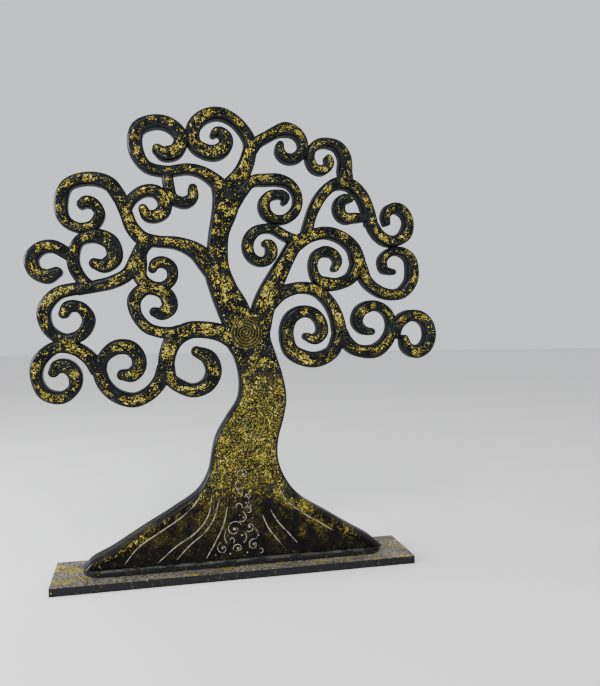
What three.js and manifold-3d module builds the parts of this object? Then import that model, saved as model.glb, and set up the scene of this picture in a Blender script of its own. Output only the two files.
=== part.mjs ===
// Tree of life: a free-standing carved ornament. A flat, painted wooden tree of sawn limbs and
// scrolls stands on a foot rail and a base board. Millimetres, +Z up, front face towards -Y,
// origin in the middle of the base board's underside.

import * as THREE from 'three';
import { mergeVertices } from 'three/addons/utils/BufferGeometryUtils.js';
import Module from 'manifold-3d';

const wasm = await Module();
wasm.setup();

// ---------------------------------------------------------------- driving dimensions
const GLUE = 0.3; // clear gap between two glued faces
const SLAB = 26; // thickness of the crown and the trunk

const BASE = { length: 540, depth: 100, height: 12.2 };
const RAIL = { length: 455, depth: 57, height: 9 };
const ROOT_FLARE = { top: 150, front: 25 }; // below this height the front of the roots comes forward

const DOWEL = { radius: 4, length: 36 };
const SCREW = { radius: 2.25, headRadius: 4.5, headHeight: 3, length: 50, spacing: 110 };

const SPLITS = 3; // edge pieces between two guide points
const TIP_SPLITS = 5; // edge pieces round a scroll's tip

const RAIL_FOOT = BASE.height + GLUE;
const TRUNK_FOOT = RAIL_FOOT + RAIL.height + GLUE;

// ---------------------------------------------------------------- the tree's plan, front view
// Limbs are ribbons through guide points [x, z, width], from the trunk outwards.
const LIMBS = {
  left_main_limb: [
    [-7, 396, 48],
    [-21, 425, 42],
    [-31, 455, 38],
    [-31, 482, 32],
    [-28, 512, 31],
    [-20, 542, 38],
    [-16, 566, 43],
    [-17, 588, 46],
  ],
  right_main_limb: [
    [38, 396, 35.5],
    [47, 420, 33.5],
    [60, 446, 29.5],
    [74, 472, 24.5],
    [87, 494, 23.5],
    [106, 509, 21.5],
  ],
  low_left_limb: [
    [-4, 352, 35.5],
    [-25, 361, 28.5],
    [-50, 366, 26.5],
    [-74, 365, 26.5],
    [-95, 352, 27.5],
    [-105, 330, 25.5],
    [-108, 304, 24.5],
  ],
  low_left_bow: [
    [-109, 310, 24.5],
    [-117, 289, 22.5],
    [-134, 271, 21.5],
    [-155, 263, 21.5],
    [-180, 271, 20.5],
    [-196, 288, 20.5],
    [-203, 308, 20.5],
  ],
  upper_left_limb: [
    [-28, 441, 29.5],
    [-46, 467, 31.5],
    [-64, 484, 25.5],
    [-90, 494, 19.5],
    [-118, 496, 17.5],
    [-140, 500, 21.5],
    [-155, 516, 20.5],
    [-163, 537, 19.5],
    [-172, 560, 20.5],
  ],
  far_left_limb: [
    [-127, 497, 16],
    [-139, 488, 21],
    [-148, 470, 22],
    [-161, 448, 20],
    [-183, 435.5, 19.5],
    [-206, 429.5, 18.5],
    [-232, 424, 17],
  ],
  top_limb: [
    [-10, 576, 37],
    [4, 597, 28],
    [14, 618, 24],
    [19, 637, 21],
  ],
  right_arch_limb: [
    [88, 494, 21.5],
    [110, 509, 20.5],
    [138, 516, 19.5],
    [164, 509, 19.5],
    [183, 493, 20.5],
    [191, 472, 23.5],
  ],
  right_low_limb: [
    [46, 404, 26.5],
    [66, 421, 22.5],
    [94, 430, 19.5],
    [121, 427, 19.5],
    [142, 410, 19.5],
    [155, 387, 20.5],
    [161, 362, 22.5],
  ],
  upper_right_limb: [
    [107, 508, 21.5],
    [111, 530, 16.5],
    [120, 555, 17.5],
    [133, 576, 18.5],
    [153, 592, 19.5],
    [176, 592, 19.5],
    [195, 577, 19.5],
    [207, 552, 19.5],
    [213, 530, 19.5],
  ],
};

// Scrolls: an optional stem of guide points [x, z, width], then a curl round a centre. The curl
// starts at the bearing `from` and turns by `turn` (degrees, counterclockwise is positive).
// Radii and widths are given at equal steps of that turn.
const SCROLLS = {
  low_left_scroll: {
    stem: [
      [-204, 306, 21],
      [-216, 326, 21],
      [-236, 340, 20],
    ],
    centre: [-257, 300],
    from: 96,
    turn: 405,
    radii: [42, 35, 31, 31.5, 30.5, 26, 21, 17.5, 14.5, 10],
    widths: [19, 20, 16, 18, 18.5, 18, 20.5, 21, 20.5, 15],
  },
  bow_scroll: {
    stem: [[-203, 304, 19.5]],
    centre: [-166, 317],
    from: 165,
    turn: -270,
    radii: [32, 27, 24, 21, 20, 19, 17],
    widths: [18.5, 22.5, 22.5, 22, 22, 21.5, 16],
  },
  left_scroll_lower: {
    stem: [[-228, 427, 18.5]],
    centre: [-243, 384],
    from: 115,
    turn: 385,
    radii: [37.5, 35, 32.5, 31.5, 29, 27, 21.5, 15.5, 9],
    widths: [19, 19.5, 17, 18, 18.5, 19, 17.5, 18.5, 15],
  },
  far_left_scroll: {
    stem: [
      [-233, 464, 15],
      [-240, 472, 18],
    ],
    centre: [-268, 463],
    from: 35,
    turn: 268,
    radii: [25, 22.5, 22.5, 24.5, 24, 21, 17],
    widths: [19, 19, 18.5, 19.5, 20, 21.5, 16],
  },
  left_scroll_middle: {
    stem: [
      [-212, 428, 17],
      [-224, 438, 18],
      [-233, 452, 18.5],
    ],
    centre: [-204, 474],
    from: 190,
    turn: -295,
    radii: [33, 31, 27.5, 27, 24.5, 18, 12.5],
    widths: [18, 16, 21, 24, 23.5, 21, 16],
  },
  left_scroll_upper: {
    stem: [
      [-171, 558, 21.5],
      [-186, 577, 20.5],
    ],
    centre: [-221, 540],
    from: 80,
    turn: 395,
    radii: [43.5, 39, 31.5, 31, 28.5, 26.5, 22.5, 15.5, 10, 6.5],
    widths: [18.5, 17, 19, 17.5, 15, 16, 16.5, 17, 17.5, 14],
  },
  inner_left_scroll_top: {
    stem: [
      [-164, 536, 15.5],
      [-160, 547, 16.5],
    ],
    centre: [-128, 548],
    from: 160,
    turn: -312,
    radii: [27, 22.5, 22, 21.5, 20, 17, 15.5, 12],
    widths: [16.5, 17, 18.5, 21.5, 22, 19.5, 17.5, 14],
  },
  inner_left_scroll_upper: {
    stem: [
      [-135, 493, 15],
      [-143, 479, 20],
    ],
    centre: [-119, 452],
    from: 158,
    turn: 350,
    radii: [27, 26, 24, 24, 23.5, 21, 16, 11.5, 8],
    widths: [22, 21, 19, 17, 16.5, 17.5, 17.5, 17, 14],
  },
  inner_left_scroll_lower: {
    stem: [
      [-88, 362, 24],
      [-100, 361, 20],
      [-121, 364, 17.5],
    ],
    centre: [-123, 403],
    from: 250,
    turn: -345,
    radii: [35, 30, 30, 27, 22, 22, 21.5, 16, 10.5],
    widths: [18, 18, 21.5, 20, 19, 23.5, 24, 21, 15],
  },
  trunk_side_scroll_left: {
    stem: [
      [-106, 312, 23.5],
      [-101, 293, 20.5],
    ],
    centre: [-67, 307],
    from: 225,
    turn: 214,
    radii: [33, 32, 31.5, 30, 28, 26.5],
    widths: [21, 21, 22.5, 24.5, 24.5, 17.5],
  },
  top_left_scroll: {
    stem: [
      [-27, 583, 22.5],
      [-45, 596, 18.5],
      [-60, 602, 16.5],
      [-75, 603.5, 15.5],
      [-90, 601, 15.5],
      [-104, 598.5, 15.5],
    ],
    centre: [-113, 640],
    from: 240,
    turn: -355,
    radii: [41, 37, 36.5, 30.5, 29.5, 31, 25, 17, 11.5],
    widths: [17, 22.5, 21, 19.5, 20, 21, 22, 21, 15],
  },
  top_left_hook: {
    stem: [[-104, 594, 17]],
    centre: [-82, 568],
    from: 160,
    turn: 225,
    radii: [20.5, 17, 14, 14.5, 16, 16.5],
    widths: [17.5, 17.5, 16.5, 18, 17.5, 14],
  },
  crown_scroll_left: {
    stem: [[20, 632, 22]],
    centre: [-33, 652],
    from: 0,
    turn: 480,
    radii: [50.5, 39.5, 36, 34, 34.5, 33, 25.5, 21.5, 18.5, 15.5, 11.5, 8.5, 5.5],
    widths: [19, 17, 18, 20, 22, 21, 22, 23, 22.5, 20, 16, 13.5, 11],
  },
  crown_scroll_right: {
    stem: [
      [19, 634, 21],
      [31, 649, 18],
      [45, 658, 17],
      [58.5, 666, 18],
    ],
    centre: [78, 646],
    from: 103,
    turn: -284,
    radii: [25.5, 24, 23.5, 23, 21.5, 20, 18.5, 16, 13.5],
    widths: [21, 18, 15.5, 16, 18.5, 16.5, 15.5, 15, 12],
  },
  top_right_scroll: {
    stem: [
      [171, 590, 18.5],
      [171, 600, 20.5],
    ],
    centre: [135, 630],
    from: -30,
    turn: 396,
    radii: [39, 33, 29.5, 25, 24, 24, 23, 22, 18.5, 13.5, 9, 5.5],
    widths: [22.5, 20, 16.5, 14.5, 15.5, 15, 14, 14.5, 15.5, 15, 14.5, 11],
  },
  centre_scroll_upper: {
    stem: [
      [-6, 550, 16.5],
      [6, 572, 18.5],
      [22.5, 590, 17.5],
    ],
    centre: [62, 562],
    from: 120,
    turn: -487.5,
    radii: [36, 32, 32, 31.5, 30.5, 29.5, 29, 28.5, 26, 21.5, 15.5, 11, 10, 11.5, 13, 10],
    widths: [18.5, 18, 15, 14, 15, 17, 15.5, 15.5, 18, 18, 16.5, 15, 14, 13.5, 12, 10],
  },
  centre_scroll_lower: {
    stem: [
      [97, 503, 16.5],
      [84, 505, 16.5],
    ],
    centre: [38, 492],
    from: 28,
    turn: 382,
    radii: [38.5, 31.5, 27, 25, 23.5, 23, 23.5, 23.5, 22, 18, 14, 10.5, 7],
    widths: [16, 15, 15, 18, 18, 17.5, 16, 15.5, 17, 18.5, 18.5, 16.5, 12],
  },
  arch_scroll: {
    stem: [
      [208, 545, 15],
      [196, 541.5, 15],
    ],
    centre: [173, 558],
    from: 298,
    turn: -224,
    radii: [20, 19, 17.5, 15, 13.5, 13, 12.5, 11],
    widths: [17, 18, 18, 19, 19, 18, 15, 11],
  },
  right_scroll_top: {
    stem: [[213, 532, 18.5]],
    centre: [253, 534],
    from: 214,
    turn: 326,
    radii: [34, 30.5, 26.5, 24, 22, 22, 23, 24.5, 24, 20, 15.5],
    widths: [18.5, 19, 18.5, 19.5, 17.5, 14.5, 15.5, 17.5, 17.5, 13.5, 10],
  },
  right_inner_scroll: {
    stem: [[190, 470, 19.5]],
    centre: [138, 463],
    from: -20,
    turn: -350,
    radii: [44.5, 32, 26, 23.5, 21, 21.5, 23.5, 24, 23.5, 21, 14.5],
    widths: [19.5, 20.5, 22.5, 17, 14, 13.5, 16, 18, 15.5, 13, 11],
  },
  right_scroll_upper: {
    stem: [
      [190, 480, 17],
      [195, 465, 19.5],
    ],
    centre: [254, 463],
    from: 205,
    turn: 380,
    radii: [53, 45, 41, 34, 28.5, 29, 28, 27, 26, 20, 9],
    widths: [18.5, 18.5, 19, 19.5, 19, 17, 15, 14.5, 13.5, 12.5, 10],
  },
  right_scroll_lower: {
    stem: [
      [161, 366, 20],
      [171, 347, 21],
    ],
    centre: [216, 376],
    from: 237,
    turn: 377,
    radii: [51, 45, 37, 32, 29, 27.5, 27, 28, 26.5, 20, 14.5],
    widths: [20.5, 22, 19, 16, 15, 16, 19, 19, 17, 15, 12],
  },
  far_right_scroll: {
    stem: [],
    centre: [290, 357],
    from: 187,
    turn: -350,
    radii: [40, 36, 33, 29.5, 26, 23.5, 24, 26.5, 28, 26, 22.5],
    widths: [18.5, 19.5, 19.5, 19.5, 19, 19, 19, 20, 21.5, 18.5, 13],
  },
  trunk_side_scroll_right: {
    stem: [[161, 360, 20.5]],
    centre: [105, 360],
    from: -33,
    turn: -392,
    radii: [53, 45, 38, 35, 30.5, 30.5, 33, 34, 33, 30, 26.5, 18, 6],
    widths: [20.5, 24.5, 26, 24, 22, 21.5, 21, 20, 18.5, 18, 18, 17, 13],
  },
};

// Straight butt joints between two stacked scrolls: [upper, lower, x, z, bearing of the joint].
const BUTTS = [
  ['left_scroll_lower', 'low_left_scroll', -247, 350, 0],
  ['inner_left_scroll_upper', 'inner_left_scroll_lower', -122, 429, 0],
  ['left_scroll_upper', 'left_scroll_middle', -215, 507, 4],
  ['centre_scroll_upper', 'centre_scroll_lower', 52, 526, 0],
];

// Trunk and roots, front outline: left edge downwards, then right edge upwards.
const TRUNK_LEFT = [
  [-18, 344],
  [-6, 322],
  [1, 292],
  [-1, 262],
  [-18, 234],
  [-34, 206],
  [-41, 178],
  [-46, 152],
  [-62, 124],
  [-100, 98],
  [-145, 72],
  [-188, 46],
  [-216, 32],
];
const TRUNK_RIGHT = [
  [212, 34],
  [180, 53],
  [140, 78],
  [98, 105],
  [73, 135],
  [61, 166],
  [61, 196],
  [70, 232],
  [74, 262],
  [68, 296],
  [57, 330],
  [49, 356],
  [50, 378],
  [56, 396],
];
const TRUNK_TOE = 226; // half length of the roots where they meet the rail
const CROTCH = { x: 19, z: 396 };

// Dowels across the main joints: [name, x, z, bearing].
const DOWELS = [
  ['dowel_left_main', -7, 396, 112],
  ['dowel_right_main', 38, 396, 72],
  ['dowel_low_left', -18, 358, 160],
  ['dowel_upper_left', -47, 470, 140],
  ['dowel_top_limb', -7, 582, 60],
];

// ---------------------------------------------------------------- finishes
const BLACK = { color: 0x1b1b1e, roughness: 0.42, metalness: 0.0 };
const GOLDEN = { color: 0x4a4029, roughness: 0.45, metalness: 0.2 };
const BARE_BEECH = { color: 0xc9a878, roughness: 0.7, metalness: 0.0 };
const ZINC = { color: 0xb9bcc0, roughness: 0.35, metalness: 0.9 };

// ---------------------------------------------------------------- solids
const rad = THREE.MathUtils.degToRad;

function toManifold(geometry) {
  const bare = geometry.clone();
  bare.deleteAttribute('normal');
  bare.deleteAttribute('uv');
  const merged = mergeVertices(bare, 1e-4);
  const mesh = new wasm.Mesh({
    numProp: 3,
    vertProperties: new Float32Array(merged.attributes.position.array),
    triVerts: new Uint32Array(merged.index.array),
  });
  return new wasm.Manifold(mesh);
}

function toGeometry(solid) {
  const mesh = solid.getMesh();
  const geometry = new THREE.BufferGeometry();
  geometry.setAttribute('position', new THREE.BufferAttribute(new Float32Array(mesh.vertProperties), 3));
  geometry.setIndex(new THREE.BufferAttribute(new Uint32Array(mesh.triVerts), 1));
  geometry.computeVertexNormals();
  return geometry;
}

// The largest separate body of a cut solid: offcuts are thrown away.
function largestBody(solid) {
  const bodies = solid.decompose();
  bodies.sort((a, b) => b.volume() - a.volume());
  return bodies[0];
}

// An upright slab of the given depth from an outline in the front view, centred on y = 0.
function slab(outline, depth) {
  const shape = new THREE.Shape(outline);
  const geometry = new THREE.ExtrudeGeometry(shape, { depth, bevelEnabled: false, curveSegments: 1 });
  geometry.rotateX(Math.PI / 2);
  geometry.translate(0, depth / 2, 0);
  return toManifold(geometry);
}

// Guide points of a curl: one for each radius, at equal steps of its turn.
function curlPoints(scroll) {
  const last = scroll.radii.length - 1;
  return scroll.radii.map((radius, i) => {
    const bearing = rad(scroll.from + (scroll.turn * i) / last);
    const x = scroll.centre[0] + radius * Math.cos(bearing);
    const z = scroll.centre[1] + radius * Math.sin(bearing);
    return [x, z, scroll.widths[i]];
  });
}

// Outline of a ribbon along guide points [x, z, width], made `extra` wider on each side.
function ribbon(points, extra, roundTip) {
  const guide = new THREE.CatmullRomCurve3(points.map((p) => new THREE.Vector3(...p)));
  const steps = (points.length - 1) * SPLITS;
  const left = [];
  const right = [];
  for (let i = 0; i <= steps; i += 1) {
    const p = guide.getPoint(i / steps);
    const tangent = guide.getTangent(i / steps).setZ(0).normalize();
    const half = p.z / 2 + extra;
    left.push(new THREE.Vector2(p.x - tangent.y * half, p.y + tangent.x * half));
    right.push(new THREE.Vector2(p.x + tangent.y * half, p.y - tangent.x * half));
  }
  const tip = [];
  if (roundTip) {
    const from = left[steps];
    const middle = from.clone().add(right[steps]).divideScalar(2);
    for (let i = 1; i < TIP_SPLITS; i += 1) {
      tip.push(from.clone().rotateAround(middle, (-Math.PI * i) / TIP_SPLITS));
    }
  }
  return [...left, ...tip, ...right.reverse()];
}

function ribbonSlab(points, extra, roundTip) {
  return slab(ribbon(points, extra, roundTip), SLAB + 2 * extra);
}

function trunkOutline() {
  const left = new THREE.SplineCurve(TRUNK_LEFT.map((p) => new THREE.Vector2(...p)));
  const right = new THREE.SplineCurve(TRUNK_RIGHT.map((p) => new THREE.Vector2(...p)));
  return [
    new THREE.Vector2(CROTCH.x, CROTCH.z),
    new THREE.Vector2(-31, CROTCH.z),
    new THREE.Vector2(-18, 375),
    ...left.getPoints((TRUNK_LEFT.length - 1) * SPLITS),
    new THREE.Vector2(-TRUNK_TOE, TRUNK_FOOT),
    new THREE.Vector2(TRUNK_TOE, TRUNK_FOOT),
    ...right.getPoints((TRUNK_RIGHT.length - 1) * SPLITS),
  ];
}

// A wedge across the front of the roots, spreading towards the rail.
function flareWedge() {
  const profile = new THREE.Shape([
    new THREE.Vector2(-SLAB / 2, ROOT_FLARE.top),
    new THREE.Vector2(-ROOT_FLARE.front, TRUNK_FOOT),
    new THREE.Vector2(0, TRUNK_FOOT),
    new THREE.Vector2(0, ROOT_FLARE.top),
  ]);
  const geometry = new THREE.ExtrudeGeometry(profile, { depth: BASE.length, bevelEnabled: false });
  geometry.rotateX(Math.PI / 2);
  geometry.rotateZ(Math.PI / 2);
  geometry.translate(-BASE.length / 2, 0, 0);
  return toManifold(geometry);
}

function trunk() {
  const outline = trunkOutline();
  const flare = slab(outline, 2 * ROOT_FLARE.front).intersect(flareWedge());
  return slab(outline, SLAB).add(flare);
}

function railOutline() {
  const half = RAIL.length / 2;
  const shape = new THREE.Shape();
  const round = RAIL.depth / 2;
  shape.moveTo(-half + round, -round);
  shape.lineTo(half - round, -round);
  shape.absarc(half - round, 0, round, -Math.PI / 2, Math.PI / 2, false);
  shape.lineTo(-half + round, round);
  shape.absarc(-half + round, 0, round, Math.PI / 2, 1.5 * Math.PI, false);
  return shape;
}

function footRail() {
  const options = { depth: RAIL.height, bevelEnabled: false, curveSegments: 10 };
  const geometry = new THREE.ExtrudeGeometry(railOutline(), options);
  geometry.translate(0, 0, RAIL_FOOT);
  return toManifold(geometry);
}

function baseBoard() {
  const geometry = new THREE.BoxGeometry(BASE.length, BASE.depth, BASE.height);
  geometry.translate(0, 0, BASE.height / 2);
  return toManifold(geometry);
}

// A countersunk wood screw standing on z = 0, made `extra` fatter all round and longer by `extra`.
function screwSolid(x, extra) {
  const profile = [
    new THREE.Vector2(0, -extra),
    new THREE.Vector2(SCREW.headRadius + extra, -extra),
    new THREE.Vector2(SCREW.headRadius + extra, 0.5),
    new THREE.Vector2(SCREW.radius + extra, SCREW.headHeight),
    new THREE.Vector2(SCREW.radius + extra, SCREW.length - 5),
    new THREE.Vector2(0.4 + extra, SCREW.length + extra),
    new THREE.Vector2(0, SCREW.length + extra),
  ];
  const geometry = new THREE.LatheGeometry(profile, 12);
  geometry.rotateX(Math.PI / 2);
  geometry.translate(x, 0, GLUE);
  return toManifold(geometry);
}

function dowelSolid([, x, z, bearing], extra) {
  const radius = DOWEL.radius + extra;
  const geometry = new THREE.CylinderGeometry(radius, radius, DOWEL.length + 2 * extra, 10);
  geometry.rotateZ(rad(bearing - 90));
  geometry.rotateX(Math.PI / 2);
  geometry.translate(x, 0, z);
  return toManifold(geometry);
}

// Everything on one side of a straight joint through (x, z): above it, or below it.
function sideOfJoint([, , x, z, bearing], above) {
  const size = 400;
  const geometry = new THREE.BoxGeometry(size, 2 * SLAB, size);
  geometry.translate(0, 0, ((size + GLUE) / 2) * (above ? 1 : -1));
  geometry.rotateY(-rad(bearing));
  geometry.translate(x, 0, z);
  return toManifold(geometry);
}

// ---------------------------------------------------------------- assembly
const tree = new THREE.Group();

function place(name, solid, finish) {
  const geometry = toGeometry(largestBody(solid));
  geometry.computeBoundingBox();
  const centre = geometry.boundingBox.getCenter(new THREE.Vector3());
  geometry.translate(-centre.x, -centre.y, -centre.z);
  const mesh = new THREE.Mesh(geometry, new THREE.MeshStandardMaterial(finish));
  mesh.name = name;
  mesh.position.copy(centre);
  tree.add(mesh);
}

const screwPlaces = [-1.5, -0.5, 0.5, 1.5].map((n) => n * SCREW.spacing);
const screwHoles = screwPlaces.map((x) => screwSolid(x, GLUE));
const dowelHoles = DOWELS.map((dowel) => dowelSolid(dowel, GLUE));

const drilled = (solid, holes) => holes.reduce((rest, hole) => rest.subtract(hole), solid);

place('base_board', drilled(baseBoard(), screwHoles), GOLDEN);
place('foot_rail', drilled(footRail(), screwHoles), BLACK);
place('trunk', drilled(trunk(), [...screwHoles, ...dowelHoles]), GOLDEN);

// Each ribbon is cut back to clear the base, the trunk and the ribbons fitted before it.
const GLUE_SHIFTS = [
  [0, 0],
  [GLUE, 0],
  [-GLUE, 0],
  [0, GLUE],
];
const trunkRoom = GLUE_SHIFTS.map(([dx, dz]) => slab(trunkOutline(), SLAB + 2).translate([dx, 0, dz]));
const fitted = [baseBoard(), ...trunkRoom];

function fit(name, points, roundTip, finish) {
  let solid = ribbonSlab(points, 0, roundTip);
  fitted.forEach((earlier) => {
    solid = solid.subtract(earlier);
  });
  BUTTS.forEach((butt) => {
    if (butt[0] === name) solid = solid.intersect(sideOfJoint(butt, true));
    if (butt[1] === name) solid = solid.intersect(sideOfJoint(butt, false));
  });
  fitted.push(ribbonSlab(points, GLUE, roundTip));
  place(name, drilled(solid, dowelHoles), finish);
}

Object.entries(LIMBS).forEach(([name, points]) => fit(name, points, false, GOLDEN));
Object.entries(SCROLLS).forEach(([name, scroll]) => {
  fit(name, [...scroll.stem, ...curlPoints(scroll)], true, GOLDEN);
});

DOWELS.forEach((dowel) => place(dowel[0], dowelSolid(dowel, 0), BARE_BEECH));
screwPlaces.forEach((x, i) => place(`screw_${i + 1}`, screwSolid(x, 0), ZINC));

export default tree;
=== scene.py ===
"""Looks of the tree of life ornament: black painted wood, carved and rubbed with gold.

The tree's plan is a set of limbs and scrolls, each a ribbon of changing width. Every ribbon is
carved here with a rounded front, and the scrolls end round. The trunk and roots are one relief.
"""
import math
import bpy
import numpy as np
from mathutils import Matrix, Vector


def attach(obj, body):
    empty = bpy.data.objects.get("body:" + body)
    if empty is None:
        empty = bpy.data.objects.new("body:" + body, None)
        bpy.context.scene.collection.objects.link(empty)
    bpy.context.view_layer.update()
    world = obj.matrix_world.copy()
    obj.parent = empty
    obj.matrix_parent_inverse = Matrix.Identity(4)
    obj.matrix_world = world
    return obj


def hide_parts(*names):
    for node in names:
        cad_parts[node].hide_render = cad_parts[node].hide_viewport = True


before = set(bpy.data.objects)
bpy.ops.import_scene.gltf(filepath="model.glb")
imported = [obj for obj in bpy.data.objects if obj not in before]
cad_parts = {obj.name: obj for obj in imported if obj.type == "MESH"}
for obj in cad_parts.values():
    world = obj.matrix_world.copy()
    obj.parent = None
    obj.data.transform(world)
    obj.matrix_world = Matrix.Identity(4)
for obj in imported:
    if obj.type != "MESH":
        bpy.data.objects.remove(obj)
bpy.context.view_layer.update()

# ------------------------------------------------------------------ sizes, in millimetres
MM = 0.001                  # one millimetre in metres
TRIM = 0.22                 # sanding allowance taken off each side

HALF_SLAB = 13.0            # half the thickness of the crown
SHOULDER = 8.0              # how far the carved shoulder reaches in from an edge
SHOULDER_FALL = 6.0         # how far it falls back at the edge
STEEPEST_FALL = 0.75        # the most it may fall on a thin arm, as a part of the half width
CAMBER = 1.0                # further fall of an arm's front, from its middle to its edge
BACK_EASE = 2.0             # rounding of the back edges
BACK_EASE_REACH = 3.0       # how far that rounding reaches in
START_SINK = 1.4            # how deep an arm's start lies under the arm that it leaves
START_RUN = 8.0             # length over which it comes up again
BARE_START = (1, 9)         # length over which the gold comes in, as two places along the arm
LIMB_PLANING = 0.05         # each limb's back is planed by this much more than the last one's
SCROLL_PLANING = 0.03       # the same for the scrolls,
FIRST_SCROLL_PLANING = 0.51     # which follow on from the limbs

FOOT = 21.8                 # underside of the roots
FORK = 396.0                # where trunk and main limbs meet
FORK_SINK = 4.0             # how far the trunk falls back under the limbs
FLARE_TOP = 150.0           # the roots thicken below this height
FLARE_HALF = 25.0           # half thickness of the roots at their foot
ROOT_FALL = 2.0             # how much further the shoulder falls at the roots
ROOT_RECESS = 1.2           # how far the fluted part lies below the rim round it
FLUTE_DEPTH = 2.6
FLUTES = 4.5                # number of flutes in half the width
FLUTE_SHIFT = 0.03          # their place across, as a part of the half width
RIGHT_VALLEY = (0.17, 0.035, 3.2)   # place and width in half widths, and depth
LEFT_VALLEY = (-0.15, 0.03, 1.5)
PANEL_SIDE = (0.10, 0.17)   # where the flutes begin beside the middle, in half widths
KNIFE_WAVE = 0.35           # unevenness that the knife leaves on the trunk
DISC_X, DISC_Z = 10.5, 361.0        # middle of the spiral medallion
DISC_RADIUS = 25.0
DISC_PITCH = 4.4            # spacing of its turns
DISC_RISE = 0.7             # how far it stands proud of the trunk
DISC_CUT = 0.85             # half the depth of its engraving

# Where something on the trunk fades in: two heights, or two distances from an edge.
ROOT_HEIGHTS, ROOT_FALL_HEIGHTS, VALLEY_HEIGHTS = (132, 96), (140, 60), (118, 88)
KNIFE_HEIGHTS, FORK_HEIGHTS, BARE_TOP_HEIGHTS = (120, 160), (382, 396), (384, 396)
FLUTED_FROM, RIM_WITHIN = (9, 14), (18, 11)

LINE_RADIUS, CURL_RADIUS, STEM_RADIUS = 0.9, 0.6, 0.55      # raised lines on the roots
LINE_PROUD = 0.25           # how far their middles stand out from the front
BOARD_EASE, RAIL_EASE = 1.0, 2.2                            # rounded edges of the base

# Fineness of the meshes: spacing along a curve, and numbers of points or rings.
ARM_STEP, LINE_STEP, EDGE_STEP = 1.6, 1.1, 1.0
ARM_FRONT, ARM_BACK, ARM_END = 19, 9, 12
TRUNK_RINGS, TRUNK_FRONT, TRUNK_BACK = 412, 209, 25
LINE_SIDES, CURL_POINTS, KNOB_RINGS, KNOB_SIDES = 8, 14, 7, 10
SPAN_STEPS = 24             # points of a curve between two guide points
CROWDING = 0.72             # part of a quarter turn whose sine spaces the trunk's front points

# Limbs: ribbons through guide points (x, z, width), from the trunk outwards.
LIMBS = {
    "left_main_limb": [
        [-7, 396, 48], [-21, 425, 42], [-31, 455, 38], [-31, 482, 32], [-28, 512, 31],
        [-20, 542, 38], [-16, 566, 43], [-17, 588, 46],
    ],
    "right_main_limb": [
        [38, 396, 35.5], [47, 420, 33.5], [60, 446, 29.5], [74, 472, 24.5], [87, 494, 23.5],
        [106, 509, 21.5],
    ],
    "low_left_limb": [
        [-4, 352, 35.5], [-25, 361, 28.5], [-50, 366, 26.5], [-74, 365, 26.5], [-95, 352, 27.5],
        [-105, 330, 25.5], [-108, 304, 24.5],
    ],
    "low_left_bow": [
        [-109, 310, 24.5], [-117, 289, 22.5], [-134, 271, 21.5], [-155, 263, 21.5],
        [-180, 271, 20.5], [-196, 288, 20.5], [-203, 308, 20.5],
    ],
    "upper_left_limb": [
        [-28, 441, 29.5], [-46, 467, 31.5], [-64, 484, 25.5], [-90, 494, 19.5], [-118, 496, 17.5],
        [-140, 500, 21.5], [-155, 516, 20.5], [-163, 537, 19.5], [-172, 560, 20.5],
    ],
    "far_left_limb": [
        [-127, 497, 16], [-139, 488, 21], [-148, 470, 22], [-161, 448, 20], [-183, 435.5, 19.5],
        [-206, 429.5, 18.5], [-232, 424, 17],
    ],
    "top_limb": [
        [-10, 576, 37], [4, 597, 28], [14, 618, 24], [19, 637, 21],
    ],
    "right_arch_limb": [
        [88, 494, 21.5], [110, 509, 20.5], [138, 516, 19.5], [164, 509, 19.5], [183, 493, 20.5],
        [191, 472, 23.5],
    ],
    "right_low_limb": [
        [46, 404, 26.5], [66, 421, 22.5], [94, 430, 19.5], [121, 427, 19.5], [142, 410, 19.5],
        [155, 387, 20.5], [161, 362, 22.5],
    ],
    "upper_right_limb": [
        [107, 508, 21.5], [111, 530, 16.5], [120, 555, 17.5], [133, 576, 18.5], [153, 592, 19.5],
        [176, 592, 19.5], [195, 577, 19.5], [207, 552, 19.5], [213, 530, 19.5],
    ],
}

# Guide points that let the main limbs grow out of the trunk.
HIDDEN_STARTS = {
    "left_main_limb": [[4, 366, 44]],
    "right_main_limb": [[32, 366, 36]],
}

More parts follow.
